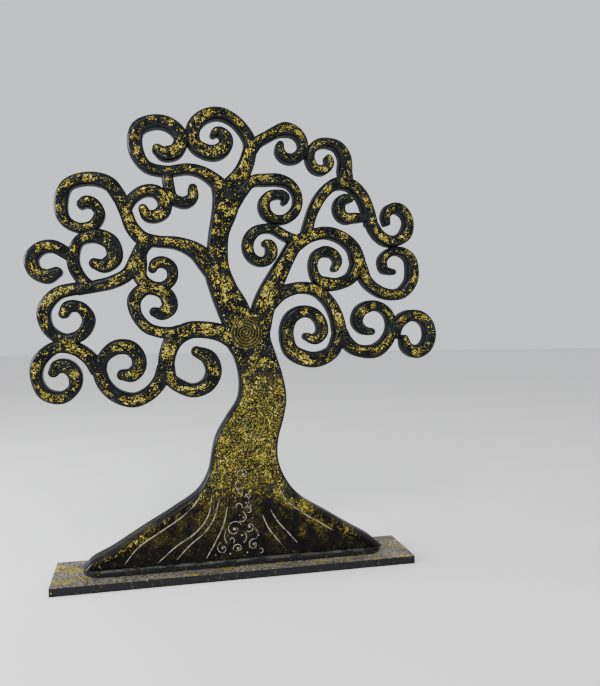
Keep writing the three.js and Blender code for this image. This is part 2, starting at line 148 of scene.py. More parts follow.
# Scrolls: a stem of guide points, then a curl round a centre. The curl starts at the bearing
# "from" and turns by "turn" degrees; its radii and widths are at equal steps of that turn.
SCROLLS = {
    "low_left_scroll": {
        "stem": [
            [-204, 306, 21], [-216, 326, 21], [-236, 340, 20],
        ],
        "centre": [-257, 300],
        "from": 96,
        "turn": 405,
        "radii": [42, 35, 31, 31.5, 30.5, 26, 21, 17.5, 14.5, 10],
        "widths": [19, 20, 16, 18, 18.5, 18, 20.5, 21, 20.5, 15],
    },
    "bow_scroll": {
        "stem": [[-203, 304, 19.5]],
        "centre": [-166, 317],
        "from": 165,
        "turn": -270,
        "radii": [32, 27, 24, 21, 20, 19, 17],
        "widths": [18.5, 22.5, 22.5, 22, 22, 21.5, 16],
    },
    "left_scroll_lower": {
        "stem": [[-228, 427, 18.5]],
        "centre": [-243, 384],
        "from": 115,
        "turn": 385,
        "radii": [37.5, 35, 32.5, 31.5, 29, 27, 21.5, 15.5, 9],
        "widths": [19, 19.5, 17, 18, 18.5, 19, 17.5, 18.5, 15],
    },
    "far_left_scroll": {
        "stem": [
            [-233, 464, 15], [-240, 472, 18],
        ],
        "centre": [-268, 463],
        "from": 35,
        "turn": 268,
        "radii": [25, 22.5, 22.5, 24.5, 24, 21, 17],
        "widths": [19, 19, 18.5, 19.5, 20, 21.5, 16],
    },
    "left_scroll_middle": {
        "stem": [
            [-212, 428, 17], [-224, 438, 18], [-233, 452, 18.5],
        ],
        "centre": [-204, 474],
        "from": 190,
        "turn": -295,
        "radii": [33, 31, 27.5, 27, 24.5, 18, 12.5],
        "widths": [18, 16, 21, 24, 23.5, 21, 16],
    },
    "left_scroll_upper": {
        "stem": [
            [-171, 558, 21.5], [-186, 577, 20.5],
        ],
        "centre": [-221, 540],
        "from": 80,
        "turn": 395,
        "radii": [43.5, 39, 31.5, 31, 28.5, 26.5, 22.5, 15.5, 10, 6.5],
        "widths": [18.5, 17, 19, 17.5, 15, 16, 16.5, 17, 17.5, 14],
    },
    "inner_left_scroll_top": {
        "stem": [
            [-164, 536, 15.5], [-160, 547, 16.5],
        ],
        "centre": [-128, 548],
        "from": 160,
        "turn": -312,
        "radii": [27, 22.5, 22, 21.5, 20, 17, 15.5, 12],
        "widths": [16.5, 17, 18.5, 21.5, 22, 19.5, 17.5, 14],
    },
    "inner_left_scroll_upper": {
        "stem": [
            [-135, 493, 15], [-143, 479, 20],
        ],
        "centre": [-119, 452],
        "from": 158,
        "turn": 350,
        "radii": [27, 26, 24, 24, 23.5, 21, 16, 11.5, 8],
        "widths": [22, 21, 19, 17, 16.5, 17.5, 17.5, 17, 14],
    },
    "inner_left_scroll_lower": {
        "stem": [
            [-88, 362, 24], [-100, 361, 20], [-121, 364, 17.5],
        ],
        "centre": [-123, 403],
        "from": 250,
        "turn": -345,
        "radii": [35, 30, 30, 27, 22, 22, 21.5, 16, 10.5],
        "widths": [18, 18, 21.5, 20, 19, 23.5, 24, 21, 15],
    },
    "trunk_side_scroll_left": {
        "stem": [
            [-106, 312, 23.5], [-101, 293, 20.5],
        ],
        "centre": [-67, 307],
        "from": 225,
        "turn": 214,
        "radii": [33, 32, 31.5, 30, 28, 26.5],
        "widths": [21, 21, 22.5, 24.5, 24.5, 17.5],
    },
    "top_left_scroll": {
        "stem": [
            [-27, 583, 22.5], [-45, 596, 18.5], [-60, 602, 16.5], [-75, 603.5, 15.5],
            [-90, 601, 15.5], [-104, 598.5, 15.5],
        ],
        "centre": [-113, 640],
        "from": 240,
        "turn": -355,
        "radii": [41, 37, 36.5, 30.5, 29.5, 31, 25, 17, 11.5],
        "widths": [17, 22.5, 21, 19.5, 20, 21, 22, 21, 15],
    },
    "top_left_hook": {
        "stem": [[-104, 594, 17]],
        "centre": [-82, 568],
        "from": 160,
        "turn": 225,
        "radii": [20.5, 17, 14, 14.5, 16, 16.5],
        "widths": [17.5, 17.5, 16.5, 18, 17.5, 14],
    },
    "crown_scroll_left": {
        "stem": [[20, 632, 22]],
        "centre": [-33, 652],
        "from": 0,
        "turn": 480,
        "radii": [50.5, 39.5, 36, 34, 34.5, 33, 25.5, 21.5, 18.5, 15.5, 11.5, 8.5, 5.5],
        "widths": [19, 17, 18, 20, 22, 21, 22, 23, 22.5, 20, 16, 13.5, 11],
    },
    "crown_scroll_right": {
        "stem": [
            [19, 634, 21], [31, 649, 18], [45, 658, 17], [58.5, 666, 18],
        ],
        "centre": [78, 646],
        "from": 103,
        "turn": -284,
        "radii": [25.5, 24, 23.5, 23, 21.5, 20, 18.5, 16, 13.5],
        "widths": [21, 18, 15.5, 16, 18.5, 16.5, 15.5, 15, 12],
    },
    "top_right_scroll": {
        "stem": [
            [171, 590, 18.5], [171, 600, 20.5],
        ],
        "centre": [135, 630],
        "from": -30,
        "turn": 396,
        "radii": [39, 33, 29.5, 25, 24, 24, 23, 22, 18.5, 13.5, 9, 5.5],
        "widths": [22.5, 20, 16.5, 14.5, 15.5, 15, 14, 14.5, 15.5, 15, 14.5, 11],
    },
    "centre_scroll_upper": {
        "stem": [
            [-6, 550, 16.5], [6, 572, 18.5], [22.5, 590, 17.5],
        ],
        "centre": [62, 562],
        "from": 120,
        "turn": -487.5,
        "radii": [36, 32, 32, 31.5, 30.5, 29.5, 29, 28.5, 26, 21.5, 15.5, 11, 10, 11.5, 13, 10],
        "widths": [18.5, 18, 15, 14, 15, 17, 15.5, 15.5, 18, 18, 16.5, 15, 14, 13.5, 12, 10],
    },
    "centre_scroll_lower": {
        "stem": [
            [97, 503, 16.5], [84, 505, 16.5],
        ],
        "centre": [38, 492],
        "from": 28,
        "turn": 382,
        "radii": [38.5, 31.5, 27, 25, 23.5, 23, 23.5, 23.5, 22, 18, 14, 10.5, 7],
        "widths": [16, 15, 15, 18, 18, 17.5, 16, 15.5, 17, 18.5, 18.5, 16.5, 12],
    },
    "arch_scroll": {
        "stem": [
            [208, 545, 15], [196, 541.5, 15],
        ],
        "centre": [173, 558],
        "from": 298,
        "turn": -224,
        "radii": [20, 19, 17.5, 15, 13.5, 13, 12.5, 11],
        "widths": [17, 18, 18, 19, 19, 18, 15, 11],
    },
    "right_scroll_top": {
        "stem": [[213, 532, 18.5]],
        "centre": [253, 534],
        "from": 214,
        "turn": 326,
        "radii": [34, 30.5, 26.5, 24, 22, 22, 23, 24.5, 24, 20, 15.5],
        "widths": [18.5, 19, 18.5, 19.5, 17.5, 14.5, 15.5, 17.5, 17.5, 13.5, 10],
    },
    "right_inner_scroll": {
        "stem": [[190, 470, 19.5]],
        "centre": [138, 463],
        "from": -20,
        "turn": -350,
        "radii": [44.5, 32, 26, 23.5, 21, 21.5, 23.5, 24, 23.5, 21, 14.5],
        "widths": [19.5, 20.5, 22.5, 17, 14, 13.5, 16, 18, 15.5, 13, 11],
    },
    "right_scroll_upper": {
        "stem": [
            [190, 480, 17], [195, 465, 19.5],
        ],
        "centre": [254, 463],
        "from": 205,
        "turn": 380,
        "radii": [53, 45, 41, 34, 28.5, 29, 28, 27, 26, 20, 9],
        "widths": [18.5, 18.5, 19, 19.5, 19, 17, 15, 14.5, 13.5, 12.5, 10],
    },
    "right_scroll_lower": {
        "stem": [
            [161, 366, 20], [171, 347, 21],
        ],
        "centre": [216, 376],
        "from": 237,
        "turn": 377,
        "radii": [51, 45, 37, 32, 29, 27.5, 27, 28, 26.5, 20, 14.5],
        "widths": [20.5, 22, 19, 16, 15, 16, 19, 19, 17, 15, 12],
    },
    "far_right_scroll": {
        "stem": [],
        "centre": [290, 357],
        "from": 187,
        "turn": -350,
        "radii": [40, 36, 33, 29.5, 26, 23.5, 24, 26.5, 28, 26, 22.5],
        "widths": [18.5, 19.5, 19.5, 19.5, 19, 19, 19, 20, 21.5, 18.5, 13],
    },
    "trunk_side_scroll_right": {
        "stem": [[161, 360, 20.5]],
        "centre": [105, 360],
        "from": -33,
        "turn": -392,
        "radii": [53, 45, 38, 35, 30.5, 30.5, 33, 34, 33, 30, 26.5, 18, 6],
        "widths": [20.5, 24.5, 26, 24, 22, 21.5, 21, 20, 18.5, 18, 18, 17, 13],
    },
}

# Edges of the trunk and roots, from the fork down on the left, and from the toe up on the right.
LEFT_EDGE = [
    (-31, 396), (-19, 374), (-18, 344), (-6, 322), (1, 292), (-1, 262), (-18, 234), (-34, 206),
    (-41, 178), (-46, 152), (-62, 124), (-100, 98), (-145, 72), (-188, 46), (-216, 32),
    (-226, 21.8),
]
RIGHT_EDGE = [
    (226, 21.8), (212, 34), (180, 53), (140, 78), (98, 105), (73, 135), (61, 166), (61, 196),
    (70, 232), (74, 262), (68, 296), (57, 330), (49, 356), (50, 378), (56, 396),
]

# Raised lines down the roots, as points (x, z), and the scrollwork between them.
ROOT_LINES = [
    [(-60, 118), (-70, 104), (-88, 88), (-120, 68), (-150, 49), (-170, 26)],
    [(-42, 118), (-48, 88), (-64, 67), (-95, 47), (-123, 24)],
    [(-31, 112), (-39, 84), (-53, 64), (-76, 46), (-95, 27)],
    [(-19, 100), (-25, 74), (-38, 48), (-52, 25)],
    [(60, 124), (72, 103), (98, 82), (124, 66), (146, 52)],
    [(46, 92), (58, 72), (74, 54), (88, 38)],
    [(34, 84), (44, 62), (56, 46), (64, 36)],
]
# Curls (centre x, z, radius, starting bearing, turn) and dots (x, z, radius).
CURLS = [
    (5, 147, 9.5, 200, -330), (2, 121, 6.5, 60, 300), (13, 113, 5.5, 200, -260),
    (-3, 99, 6.5, 330, 280), (12, 92, 7, 160, -300), (-9, 66, 12.5, 20, 400),
    (14, 68, 8, 230, 300), (-27, 38, 9, 100, 360), (-4, 37, 8, 200, -330),
    (20, 41, 9, 60, 380), (31, 29, 5, 120, -280), (-14, 50, 5.5, 300, 250),
]
STEMS = [
    [(-3, 140), (-7, 131), (-4, 124)], [(8, 118), (14, 107), (10, 99)],
    [(4, 92), (9, 82), (3, 76), (-2, 78)], [(-21, 66), (-24, 54), (-20, 44)],
    [(6, 62), (9, 52), (4, 44)], [(22, 66), (27, 56), (24, 49)],
]
DOTS = [
    (5, 147, 2.0), (-7, 112, 1.3), (9, 104, 1.3), (16, 99, 1.5), (-1, 86, 1.3), (-9, 66, 2.6),
    (5, 82, 1.3), (18, 80, 1.5), (14, 68, 1.8), (2, 56, 1.4), (-27, 38, 2.0), (-4, 37, 1.8),
    (20, 41, 2.0), (10, 30, 1.4), (-16, 30, 1.4), (-38, 29, 1.3), (8, 49, 1.2), (28, 53, 1.3),
]

# ------------------------------------------------------------------ meshes
def smooth(x, low, high):
    """Smooth step from 0 at low to 1 at high: 3t^2 - 2t^3 of the clamped fraction t."""
    t = np.clip((x - low) / (high - low), 0.0, 1.0)
    return t * t * (3.0 - 2.0 * t)


def shoulder(q, power=2.3):
    """Quarter of a superellipse: 0 where q = 0, rising to 1 where q = 1."""
    return 1.0 - (1.0 - np.clip(q, 0.0, 1.0) ** power) ** (1.0 / power)


def valley(across, place, width, depth):
    """A groove with a bell for its section: depth e^-(u^2), where u = (across - place) / width."""
    return depth * np.exp(-((across - place) / width) ** 2)


def unit(vectors):
    """Each row divided by its length."""
    return vectors / np.linalg.norm(vectors, axis=1)[:, None]


def guided(points, step):
    """Centripetal Catmull-Rom curve through the points, resampled about every step mm, and the
    distance run along it.

    Knot spacing is the square root of the distance between neighbours. Each span is a cubic
    with the end slopes that spacing gives, and both ends are extended straight on."""
    p = np.asarray(points, float)
    p = np.vstack([2 * p[0] - p[1], p, 2 * p[-1] - p[-2]])
    knot = np.linalg.norm(np.diff(p, axis=0), axis=1)[:, None] ** 0.5
    a, b, c, d = p[:-3], p[1:-2], p[2:-1], p[3:]
    k0, k1, k2 = knot[:-2], knot[1:-1], knot[2:]
    slope_b = ((b - a) / k0 - (c - a) / (k0 + k1) + (c - b) / k1) * k1
    slope_c = ((c - b) / k1 - (d - b) / (k1 + k2) + (d - c) / k2) * k1
    t = np.linspace(0, 1, SPAN_STEPS, endpoint=False)[None, :, None]
    b, c, slope_b, slope_c = (v[:, None, :] for v in (b, c, slope_b, slope_c))
    square, cube = t * t, t * t * t
    span = (b * (2 * cube - 3 * square + 1) + slope_b * (cube - 2 * square + t)
            + c * (3 * square - 2 * cube) + slope_c * (cube - square))
    path = np.vstack([span.reshape(-1, p.shape[1]), p[-2]])
    run = np.concatenate([[0], np.cumsum(np.linalg.norm(np.diff(path[:, :2], axis=0), axis=1))])
    even = np.linspace(0, run[-1], max(4, int(run[-1] / step) + 1))
    return np.stack([np.interp(even, run, path[:, i]) for i in range(p.shape[1])], 1), even


def closed_skin(rings):
    """Points and faces of a closed skin through a stack of rings.

    Quads join each ring to the next one, and a fan to the ring's middle closes each end. The
    faces are turned over if they enclose a negative volume, which is the sum of the triple
    products of their corners about the middle, so every skin faces outwards."""
    rows, around = rings.shape[:2]
    ids = np.arange(rows * around).reshape(rows, around)
    here, there = ids[:-1], ids[1:]
    quads = np.stack([here, np.roll(here, -1, 1), np.roll(there, -1, 1), there], -1).reshape(-1, 4)
    first, last = rows * around, rows * around + 1
    fans = np.concatenate([
        np.stack([np.roll(ids[0], -1), ids[0], np.full(around, first)], -1),
        np.stack([ids[-1], np.roll(ids[-1], -1), np.full(around, last)], -1)])
    points = np.concatenate([rings.reshape(-1, 3), [rings[0].mean(0), rings[-1].mean(0)]])
    middle = points.mean(0)
    volume = 0.0
    for faces in (quads, fans):
        corners = points[faces] - middle
        for i in range(1, faces.shape[1] - 1):
            cross = np.cross(corners[:, i], corners[:, i + 1])
            volume += np.einsum("ij,ij->", corners[:, 0], cross)
    if volume < 0:
        quads, fans = quads[:, ::-1], fans[:, ::-1]
    return points, quads, fans


def joined(skins):
    """Several closed skins as one set of points and faces: face numbers shift by the points
    that come before them."""
    shifts = np.cumsum([0] + [len(points) for points, _, _ in skins])
    points = np.concatenate([skin[0] for skin in skins])
    quads = np.concatenate([skin[1] + shift for skin, shift in zip(skins, shifts)])
    fans = np.concatenate([skin[2] + shift for skin, shift in zip(skins, shifts)])
    return points, quads, fans


def solid_piece(name, skin, marks, material):
    """A piece that rides the root, from a skin's points in mm and its faces, as whole arrays.
    Marks are named values, one for each point, kept on the mesh for the material to read."""
    points, quads, fans = skin
    sizes = np.concatenate([np.full(len(quads), 4), np.full(len(fans), 3)])
    starts = np.concatenate([[0], np.cumsum(sizes)[:-1]])
    corners = np.concatenate([quads.reshape(-1), fans.reshape(-1)])
    mesh = bpy.data.meshes.new(name)
    mesh.vertices.add(len(points))
    mesh.vertices.foreach_set("co", (points * MM).astype(np.float32).ravel())
    mesh.loops.add(len(corners))
    mesh.loops.foreach_set("vertex_index", corners.astype(np.int32))
    mesh.polygons.add(len(sizes))
    mesh.polygons.foreach_set("loop_start", starts.astype(np.int32))
    mesh.polygons.foreach_set("use_smooth", np.ones(len(sizes), bool))
    for key, values in marks.items():
        wide = values.shape[1] == 3
        mark = mesh.attributes.new(key, "FLOAT_VECTOR" if wide else "FLOAT", "POINT")
        mark.data.foreach_set("vector" if wide else "value", values.astype(np.float32).ravel())
    mesh.update(calc_edges=True)
    mesh.validate()
    mesh.materials.append(material)
    piece = bpy.data.objects.new(name, mesh)
    bpy.context.scene.collection.objects.link(piece)
    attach(piece, "root")
    return piece


def carved_piece(node, rings, marks, material):
    """A piece in place of a node, from rings and marks given on the same grid. The middle point
    of each end has the mean of its ring's marks."""
    values = {}
    for key, mark in marks.items():
        ends = np.stack([mark[0].mean(0), mark[-1].mean(0)]).reshape(2, -1)
        values[key] = np.concatenate([mark.reshape(-1, ends.shape[1]), ends])
    piece = solid_piece(node + "_carved", closed_skin(rings), values, material)
    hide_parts(node)


# ------------------------------------------------------------------ carved ribbons
def curl_guides(scroll):
    """Guide points of a scroll: its stem, then centre + radius (cos, sin) of an even bearing."""
    radii = np.array(scroll["radii"], float)
    bearing = np.radians(scroll["from"] + scroll["turn"] * np.linspace(0, 1, len(radii)))
    curl = np.stack([scroll["centre"][0] + radii * np.cos(bearing),
                     scroll["centre"][1] + radii * np.sin(bearing), scroll["widths"]], 1)
    return np.vstack([np.reshape(scroll["stem"], (-1, 3)), curl])


def ribbon(node, guides, round_end, material, planed):
    """A carved arm: a section carried along the guide curve.

    Across the arm the front is flat in the middle and falls back near the edges by the shoulder
    curve. At a round end the half width is h sqrt(1 - u^2) at u h past the last guide point, and
    the fall follows the distance from the end's centre, so the end is part of a dome. Each back is
    planed down by its own small amount, so two joined backs never share one plane."""
    path, run = guided(guides, ARM_STEP)
    half = path[:, 2] / 2 - TRIM
    ahead = unit(np.gradient(path[:, :2], axis=0))
    past = np.zeros(len(path))
    if round_end:
        radius = half[-1]
        dome = np.sin(np.radians(np.linspace(8, 89, ARM_END)))
        past = np.concatenate([past, dome])
        path = np.vstack([path[:, :2], path[-1, :2] + np.outer(dome * radius, ahead[-1])])
        ahead = np.vstack([ahead, np.repeat(ahead[-1:], ARM_END, 0)])
        run = np.concatenate([run, run[-1] + dome * radius])
        half = np.concatenate([half, np.full(ARM_END, radius)])
    side = np.stack([-ahead[:, 1], ahead[:, 0]], 1)
    front = np.sin(np.radians(np.linspace(-90, 90, ARM_FRONT)))
    back = np.sin(np.radians(np.linspace(90, -90, ARM_BACK)))
    across = np.concatenate([front, back])[None, :]
    is_front = (np.arange(ARM_FRONT + ARM_BACK) < ARM_FRONT)[None, :]
    narrow = np.sqrt(1 - past ** 2)[:, None]
    out = np.sqrt(past[:, None] ** 2 + (across * narrow) ** 2)
    h = half[:, None]
    reach = np.minimum(SHOULDER, h)
    q = np.clip((out * h - (h - reach)) / reach, 0, 1)
    fall = np.minimum(SHOULDER_FALL, STEEPEST_FALL * h) * shoulder(q) + CAMBER * out ** 2
    sink = START_SINK * (1 - smooth(run, 0, START_RUN))[:, None]
    ease_reach = BACK_EASE_REACH / h
    ease = BACK_EASE * shoulder((out - (1 - ease_reach)) / ease_reach, 2.0)
    y = np.where(is_front, -HALF_SLAB + fall + sink, HALF_SLAB - ease - 0.5 * sink - planed)
    offset = across * narrow * h
    place = path[:, None, :2] + side[:, None, :] * offset[:, :, None]
    none = np.zeros_like(y)
    marks = {
        "crown": (1 - q) * is_front * smooth(run, *BARE_START)[:, None],
        "behind": (1 - q) * ~is_front,
        "lay": np.stack([run[:, None] + none, offset, none], -1) * MM,
    }
    carved_piece(node, np.stack([place[:, :, 0], y, place[:, :, 1]], -1), marks, material)


# ------------------------------------------------------------------ trunk and roots
def edge_at(points, z):
    """Edge position x at height z: the guided curve through the points, read off by height."""
    curve, _ = guided(points, EDGE_STEP)
    order = np.argsort(curve[:, 1])
    return np.interp(z, curve[order, 1], curve[order, 0])


def trunk_front(x, z):
    """Front surface of trunk and roots: its y, and its marks.

    Depth is half the slab, growing evenly towards the foot. From it are taken the shoulder at
    both edges, scalloped flutes that fan out with the roots as |sin| of the place across, a
    valley on each side of the middle, and the engraved spiral, which is a cosine of the turns,
    radius / pitch - angle. The distance from an edge allows for the edge's lean."""
    left, right = edge_at(LEFT_EDGE, z), edge_at(RIGHT_EDGE, z)
    lean_left = (edge_at(LEFT_EDGE, z + 1) - edge_at(LEFT_EDGE, z - 1)) / 2
    lean_right = (edge_at(RIGHT_EDGE, z + 1) - edge_at(RIGHT_EDGE, z - 1)) / 2
    from_left = (x - left) / np.hypot(1, lean_left)
    from_right = (right - x) / np.hypot(1, lean_right)
    from_edge = np.maximum(np.minimum(from_left, from_right), 0)
    across = (2 * x - left - right) / (right - left)
    flare = np.clip((FLARE_TOP - z) / (FLARE_TOP - FOOT), 0, 1)
    depth = HALF_SLAB + (FLARE_HALF - HALF_SLAB) * flare
    q = np.clip(1 - from_edge / SHOULDER, 0, 1)
    fall = (SHOULDER_FALL + ROOT_FALL * smooth(z, *ROOT_FALL_HEIGHTS)) * shoulder(q)
    roots = smooth(z, *ROOT_HEIGHTS)
    inside = smooth(from_edge, *FLUTED_FROM)
    beside_panel = smooth(np.abs(across), *PANEL_SIDE)
    flute = FLUTE_DEPTH * np.abs(np.sin(np.pi * (across + FLUTE_SHIFT) * FLUTES)) ** 1.3
    fall = fall + roots * inside * (flute * beside_panel + ROOT_RECESS)
    fall = fall + valley(across, *RIGHT_VALLEY) * smooth(z, *VALLEY_HEIGHTS)
    fall = fall + valley(across, *LEFT_VALLEY) * roots
    dx, dz = x - DISC_X, z - DISC_Z
    radius = np.hypot(dx, dz)
    spiral = np.cos(2 * np.pi * (radius / DISC_PITCH - np.arctan2(dz, dx) / (2 * np.pi)))
    disc = smooth(radius, DISC_RADIUS, DISC_RADIUS - 1.5)
    fall = fall + disc * (DISC_CUT * (1 + spiral) - DISC_RISE)
    wave = KNIFE_WAVE * np.sin(x / 7 + 2 * np.sin(z / 31)) * np.sin(z / 17)
    wave = wave * smooth(z, *KNIFE_HEIGHTS)
    y = -depth + fall + wave * (1 - disc) * (1 - q) + FORK_SINK * smooth(z, *FORK_HEIGHTS)
    return y, {
        "crown": (1 - q) * (1 - smooth(z, *BARE_TOP_HEIGHTS)),
        "roots": roots,
        "groove": disc * smooth(spiral, -0.1, 0.45),
        "disc": disc,
        "rim": smooth(from_edge, *RIM_WITHIN) * roots,
    }


def trunk_piece(material):
    """Trunk and roots: rings at even heights, each a finely divided front and a plain back. The
    front's points stand at the sine of an even angle, so they crowd towards the edges."""
    z = np.linspace(FOOT, FORK, TRUNK_RINGS)[:, None]
    left, right = edge_at(LEFT_EDGE, z) + TRIM, edge_at(RIGHT_EDGE, z) - TRIM
    front = np.sin(np.linspace(-0.5, 0.5, TRUNK_FRONT) * np.pi * CROWDING)
    front = front[None, :] / math.sin(0.5 * CROWDING * np.pi)
    back = np.linspace(1, -1, TRUNK_BACK)[None, :]
    middle, half = (left + right) / 2, (right - left) / 2
    x_front, x_back = middle + half * front, middle + half * back
    y_front, front_marks = trunk_front(x_front, z + 0 * x_front)
    in_back = half * (1 - np.abs(back))
    y_back = HALF_SLAB - BACK_EASE * shoulder(1 - in_back / BACK_EASE_REACH, 2.0)
    x = np.concatenate([x_front, x_back], 1)
    rings = np.stack([x, np.concatenate([y_front, y_back], 1), z + 0 * x], -1)
    marks = {key: np.concatenate([mark, 0 * x_back], 1) for key, mark in front_marks.items()}
    marks["behind"] = np.concatenate([0 * x_front, np.clip(in_back / 6, 0, 1)], 1)
    marks["lay"] = np.stack([z + 0 * x, x, 0 * x], -1) * MM
    carved_piece("trunk", rings, marks, material)


def bead(path, radius):
    """A thin raised line on the roots: a tube whose radius dies away at both ends
    as the square root of 1 - u^6, with u from -1 to 1 along it, laid on the carved front."""
    line, run = guided(path, LINE_STEP)
    x, z = line[:, 0], line[:, 1]
    spine = np.stack([x, trunk_front(x, z)[0] - LINE_PROUD, z], 1)
    ahead = unit(np.gradient(spine, axis=0))
    side = unit(np.cross(ahead, [0.0, -1.0, 0.0]))
    out = np.cross(side, ahead)
    u = 2 * run / run[-1] - 1
    size = radius * np.sqrt(np.clip(1 - u ** 6, 0.03, 1))
    turn = np.linspace(0, 2 * np.pi, LINE_SIDES, endpoint=False)[None, :, None]
    ring = np.cos(turn) * side[:, None, :] + np.sin(turn) * out[:, None, :]
    return closed_skin(spine[:, None, :] + ring * size[:, None, None])


def knob(x, z, radius):
    """A raised dot: a half-buried ball, rings of latitude round the y axis."""
    y = trunk_front(np.array([x]), np.array([z]))[0][0]
    tilt = np.radians(np.linspace(-84, 84, KNOB_RINGS))[:, None]
    turn = np.linspace(0, 2 * np.pi, KNOB_SIDES, endpoint=False)[None, :]
    return closed_skin(np.stack([x + radius * np.cos(tilt) * np.cos(turn),
                                 y - radius * 0.8 * np.sin(tilt) + 0 * turn,
                                 z + radius * np.cos(tilt) * np.sin(turn)], -1))


def curl_line(x, z, radius, start, turn):
    """A small spiral: the radius shrinks evenly to about a quarter while the bearing turns."""
    t = np.linspace(0, 1, CURL_POINTS)
    bearing = np.radians(start + turn * t)
    r = radius * (1 - 0.72 * t)
    return np.stack([x + r * np.cos(bearing), z + r * np.sin(bearing)], 1)


def root_carving(material):
    """The raised lines, scrollwork and dots on the roots, as one piece of the trunk."""
    skins = [bead(line, LINE_RADIUS) for line in ROOT_LINES]
    skins += [bead(curl_line(*curl), CURL_RADIUS) for curl in CURLS]
    skins += [bead(stem, STEM_RADIUS) for stem in STEMS]
    skins += [knob(*dot) for dot in DOTS]
    piece = solid_piece("root_carving", joined(skins), {}, material)


def eased_board(node, radius, material):
    """A board of the base: its plain solid, welded, with its hard corners rounded by a bevel."""
    piece = bpy.data.objects.new(node + "_eased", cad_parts[node].data.copy())
    bpy.context.scene.collection.objects.link(piece)
    piece.modifiers.new("weld", "WELD").merge_threshold = 0.01 * MM
    bevel = piece.modifiers.new("ease", "BEVEL")
    bevel.width = radius * MM
    bevel.segments = 3
    bevel.limit_method = "ANGLE"
    bevel.angle_limit = math.radians(50)
    shaped = piece.evaluated_get(bpy.context.evaluated_depsgraph_get())
    eased = bpy.data.meshes.new_from_object(shaped)
    eased.name = piece.name
    eased.materials.clear()
    eased.materials.append(material)
    piece.modifiers.clear()
    piece.data = eased
    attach(piece, "root")
    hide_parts(node)


# ------------------------------------------------------------------ shader words
class Wire:
    """A socket that takes part in Python arithmetic: each operation adds one Math node."""

    def __init__(self, paint, socket):
        self.paint = paint
        self.socket = socket

    def _math(self, operation, one, other):
        return self.paint.node("ShaderNodeMath", {"operation": operation}, {0: one, 1: other})

    def __add__(self, other):
        return self._math("ADD", self, other)

    def __radd__(self, other):
        return self._math("ADD", other, self)

    def __sub__(self, other):
        return self._math("SUBTRACT", self, other)

    def __rsub__(self, other):
        return self._math("SUBTRACT", other, self)

    def __mul__(self, other):
        return self._math("MULTIPLY", self, other)

    def __rmul__(self, other):
        return self._math("MULTIPLY", other, self)

    def most(self, other):
        """The greater of two values."""
        return self._math("MAXIMUM", self, other)


class Paint:
    """One node material, with the words that the finishes below are written in."""

    def __init__(self, name):
        self.material = bpy.data.materials.new(name)
        self.material.use_nodes = True
        self.tree = self.material.node_tree
        self.tree.nodes.clear()

    def node(self, kind, settings, sockets, output=0):
        """Any node: its settings first, then the values or wires of its sockets, which are named
        or numbered as its output is. A colour is given without its alpha."""
        made = self.tree.nodes.new(kind)
        for key, value in settings.items():
            setattr(made, key, value)
        for key, value in sockets.items():
            socket = made.inputs[key]
            if isinstance(value, Wire):
                self.tree.links.new(value.socket, socket)
            elif isinstance(value, tuple) and len(value) < len(socket.default_value):
                socket.default_value = (*value, 1.0)
            else:
                socket.default_value = value
        return None if output is None else Wire(self, made.outputs[output])

    def mark(self, name, output="Fac"):
        """A value kept on the mesh."""
        return self.node("ShaderNodeAttribute", {"attribute_name": name}, {}, output)

    def lay(self):
        """The place along and across a piece, kept on the mesh."""
        return self.mark("lay", "Vector")

    def place(self):
        """The place on the ornament, in metres."""
        return self.node("ShaderNodeTexCoord", {}, {}, "Object")

    def normal(self):
        """The direction in which the surface faces."""
        return self.node("ShaderNodeNewGeometry", {}, {}, "Normal")

    def part(self, vector, axis):
        """One of the X, Y and Z of a vector."""
        return self.node("ShaderNodeSeparateXYZ", {}, {"Vector": vector}, axis)

    def stretched(self, vector, scale=(1.0, 1.0, 1.0), shift=(0.0, 0.0, 0.0)):
        """A vector scaled on each axis, then shifted."""
        return self.node("ShaderNodeMapping", {},
                         {"Vector": vector, "Scale": scale, "Location": shift})

    def noise(self, vector, scale, detail=3.0, roughness=0.55, distortion=0.0):
        """Cloudy noise from 0 to 1, with this many features in a metre."""
        return self.node("ShaderNodeTexNoise", {}, {
            "Vector": vector, "Scale": scale, "Detail": detail, "Roughness": roughness,
            "Distortion": distortion})

    def step(self, value, low, high):
        """Smooth step of a wire from 0 at low to 1 at high."""
        return self.node("ShaderNodeMapRange", {"interpolation_type": "SMOOTHSTEP"},
                         {0: value, 1: low, 2: high, 3: 0.0, 4: 1.0})

    def mix(self, factor, one, other):
        """Colour one where the factor is 0 and the other where it is 1."""
        return self.node("ShaderNodeMix", {"data_type": "RGBA"}, {0: factor, 6: one, 7: other}, 2)

    def bump(self, height, depth, strength):
        """Normal of a height given from 0 to 1 and a depth in metres."""
        return self.node("ShaderNodeBump", {},
                         {"Strength": strength, "Distance": depth, "Height": height})

    def finish(self, **sockets):
        """The material, from the values or wires of its shader's sockets."""
        named = {key.replace("_", " "): value for key, value in sockets.items()}
        shader = self.node("ShaderNodeBsdfPrincipled", {}, named)
        self.node("ShaderNodeOutputMaterial", {}, {"Surface": shader}, None)
        return self.material


# ------------------------------------------------------------------ finishes
INK = (0.0045, 0.0055, 0.007)
# Painted reflection: a blue-grey that stands in for the sky's sheen on the black paint, laid in
# random patches.
SLATE_SKY_SHEEN = (0.009, 0.0115, 0.0135)
ROOT_INK = (0.005, 0.004, 0.004)
GOLD = (0.74, 0.61, 0.04)
PALE_GOLD = (0.95, 0.87, 0.24)
COPPER = (0.44, 0.24, 0.03)
# Colour of the painted highlight along the foot rail's upper edge.
HIGHLIGHT_SILVER = (0.20, 0.20, 0.19)
RUB_LEVEL = 0.725           # value of the noise above which gold is left: less shows more gold
RICH_PATCH = 0.10           # how far a patch of thicker gold lowers that
BACK_THINNING = 0.06        # how much less gold than the front the back has


